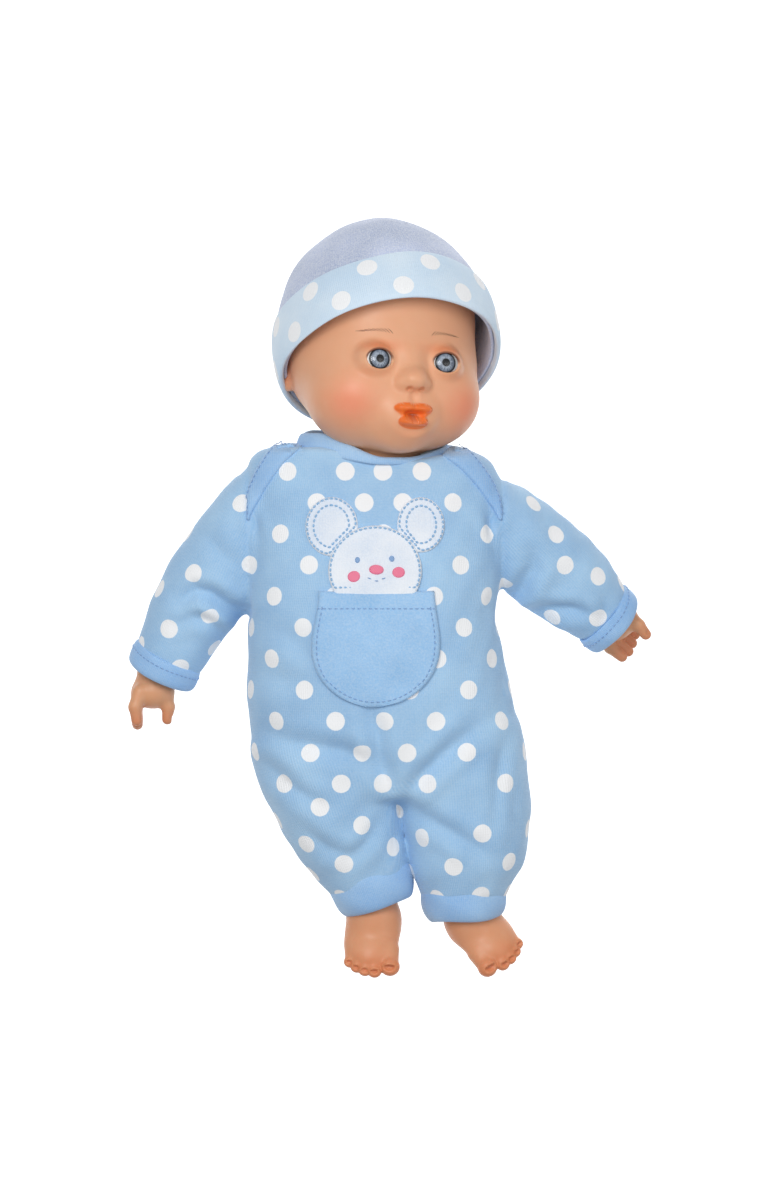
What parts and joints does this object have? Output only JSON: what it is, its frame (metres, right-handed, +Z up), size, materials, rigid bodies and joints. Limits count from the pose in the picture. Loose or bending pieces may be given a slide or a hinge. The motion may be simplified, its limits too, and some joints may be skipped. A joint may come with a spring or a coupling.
{
  "type": "interactive baby doll",
  "caption": "Soft-bodied baby doll with vinyl head, hands and feet, dotted romper, turned-up hat and a press-to-talk sound unit in the belly.",
  "frame": {"origin": "middle of the bounding box at the height of the toe tips", "axes": "+Z up from the feet to the head, the doll faces -Y, +X is its left side"},
  "size_m": [0.2089, 0.0873, 0.3005],
  "materials": {
    "dotted_knit": "soft brushed cotton knit printed with white dots",
    "plain_rib": "plain blue rib knit",
    "woven_blue": "plain weave cotton",
    "hat_fleece": "brushed heather knit",
    "white_fleece": "short white fleece, machine stitched",
    "cotton_lining": "plain cotton body cloth",
    "polyester_filling": "polyester fibre filling",
    "hook_tape": "hook-and-loop tape",
    "skin_vinyl": "soft vinyl, satin, sprayed blush",
    "eye_white": "glossy white plastic",
    "iris_print": "printed grey-blue disc",
    "clear_lens": "clear polished acrylic",
    "nylon": "natural nylon",
    "white_plastic": "moulded polystyrene",
    "button_plastic": "moulded plastic",
    "black_plastic": "moulded plastic",
    "plated_steel": "zinc plated",
    "cell_steel": "nickel plated cell cans",
    "paper_cone": "coated paper",
    "magnet_steel": "plated steel pot",
    "circuit_green": "glass epoxy board",
    "epoxy_black": "black epoxy blob over the chip",
    "wire_red": "pvc insulated wire"
  },
  "bodies": {
    "torso": {"romper_front": "dotted_knit", "romper_back": "dotted_knit", "cotton_body": "cotton_lining", "torso_filling": "polyester_filling", "neck_cable_tie": "nylon", "front_neck_binding": "plain_rib", "back_neck_binding": "plain_rib", "chest_pocket": "woven_blue", "applique_face": "white_fleece", "applique_ears": "white_fleece", "placket_hooks": "hook_tape", "placket_loops": "hook_tape", "sound_case_front": "white_plastic", "sound_case_back": "white_plastic", "battery_door": "white_plastic", "battery_door_screw": "plated_steel", "case_screws": "plated_steel", "speaker_frame": "black_plastic", "speaker_cone": "paper_cone", "speaker_magnet": "magnet_steel", "circuit_board": "circuit_green", "contact_switch": "black_plastic", "sound_chip": "epoxy_black", "button_spring": "plated_steel", "button_cells": "cell_steel", "battery_contacts": "plated_steel", "slide_switch_base": "plated_steel", "speaker_wires": "wire_red"},
    "head": {"head_shell": "skin_vinyl", "right_eye_ball": "eye_white", "right_iris": "iris_print", "right_eye_lens": "clear_lens", "left_eye_ball": "eye_white", "left_iris": "iris_print", "left_eye_lens": "clear_lens", "neck_plug": "nylon"},
    "hat": {"hat_crown": "hat_fleece", "hat_brim": "dotted_knit"},
    "button": {"press_button": "button_plastic"},
    "switch": {"switch_knob": "black_plastic"},
    "right_arm": {"right_sleeve": "dotted_knit", "right_wrist_cuff": "plain_rib", "right_stuffed_arm": "polyester_filling", "right_wrist_tie": "nylon"},
    "right_hand": {"right_hand": "skin_vinyl"},
    "right_leg": {"right_trouser_leg": "dotted_knit", "right_ankle_cuff": "plain_rib", "right_stuffed_leg": "polyester_filling", "right_ankle_tie": "nylon"},
    "right_foot": {"right_foot": "skin_vinyl"},
    "left_arm": {"left_sleeve": "dotted_knit", "left_wrist_cuff": "plain_rib", "left_stuffed_arm": "polyester_filling", "left_wrist_tie": "nylon"},
    "left_hand": {"left_hand": "skin_vinyl"},
    "left_leg": {"left_trouser_leg": "dotted_knit", "left_ankle_cuff": "plain_rib", "left_stuffed_leg": "polyester_filling", "left_ankle_tie": "nylon"},
    "left_foot": {"left_foot": "skin_vinyl"}
  },
  "joints": [
    {"name": "head_turn", "type": "hinge", "parent": "torso", "child": "head", "pos_m": [-0.006, -0.0005, 0.205], "axis": [0, 0.1392, 0.9903], "range_deg": [-70, 40]},
    {"name": "hat_lift", "type": "slide", "parent": "head", "child": "hat", "axis": [-0.171, 0.5858, 0.7922], "range_m": [0, 0.12]},
    {"name": "right_shoulder", "type": "hinge", "parent": "torso", "child": "right_arm", "pos_m": [-0.059, 0.003, 0.183], "axis": [0, 1, 0], "range_deg": [-8, 60]},
    {"name": "left_shoulder", "type": "hinge", "parent": "torso", "child": "left_arm", "pos_m": [0.0485, 0.003, 0.183], "axis": [0, -1, 0], "range_deg": [-25, 40]},
    {"name": "right_wrist_swivel", "type": "hinge", "parent": "right_arm", "child": "right_hand", "pos_m": [-0.0915, 0.013, 0.1175], "axis": [-0.4404, 0.1355, -0.8875], "range_deg": [-35, 35]},
    {"name": "left_wrist_swivel", "type": "hinge", "parent": "left_arm", "child": "left_hand", "pos_m": [0.088, 0.018, 0.144], "axis": [0.687, 0.2609, -0.6783], "range_deg": [-35, 35]},
    {"name": "right_hip", "type": "hinge", "parent": "torso", "child": "right_leg", "pos_m": [-0.026, 0, 0.084], "axis": [-1, 0, 0], "range_deg": [-10, 80]},
    {"name": "left_hip", "type": "hinge", "parent": "torso", "child": "left_leg", "pos_m": [0.027, 0, 0.084], "axis": [-1, 0, 0], "range_deg": [-10, 80]},
    {"name": "right_ankle_swivel", "type": "hinge", "parent": "right_leg", "child": "right_foot", "pos_m": [-0.0065, 0, 0.0275], "axis": [0.3262, 0, -0.9453], "range_deg": [-30, 30]},
    {"name": "left_ankle_swivel", "type": "hinge", "parent": "left_leg", "child": "left_foot", "pos_m": [0.0315, 0, 0.0275], "axis": [0.0794, 0, -0.9968], "range_deg": [-30, 30]},
    {"name": "button_press", "type": "slide", "parent": "torso", "child": "button", "axis": [0, 1, 0], "range_m": [0, 0.0018], "stiffness_N_per_m": 400, "springref_m": -0.002, "deforming": ["button_spring"]},
    {"name": "power_switch", "type": "slide", "parent": "torso", "child": "switch", "axis": [1, 0, 0], "range_m": [0, 0.0036]}
  ]
}
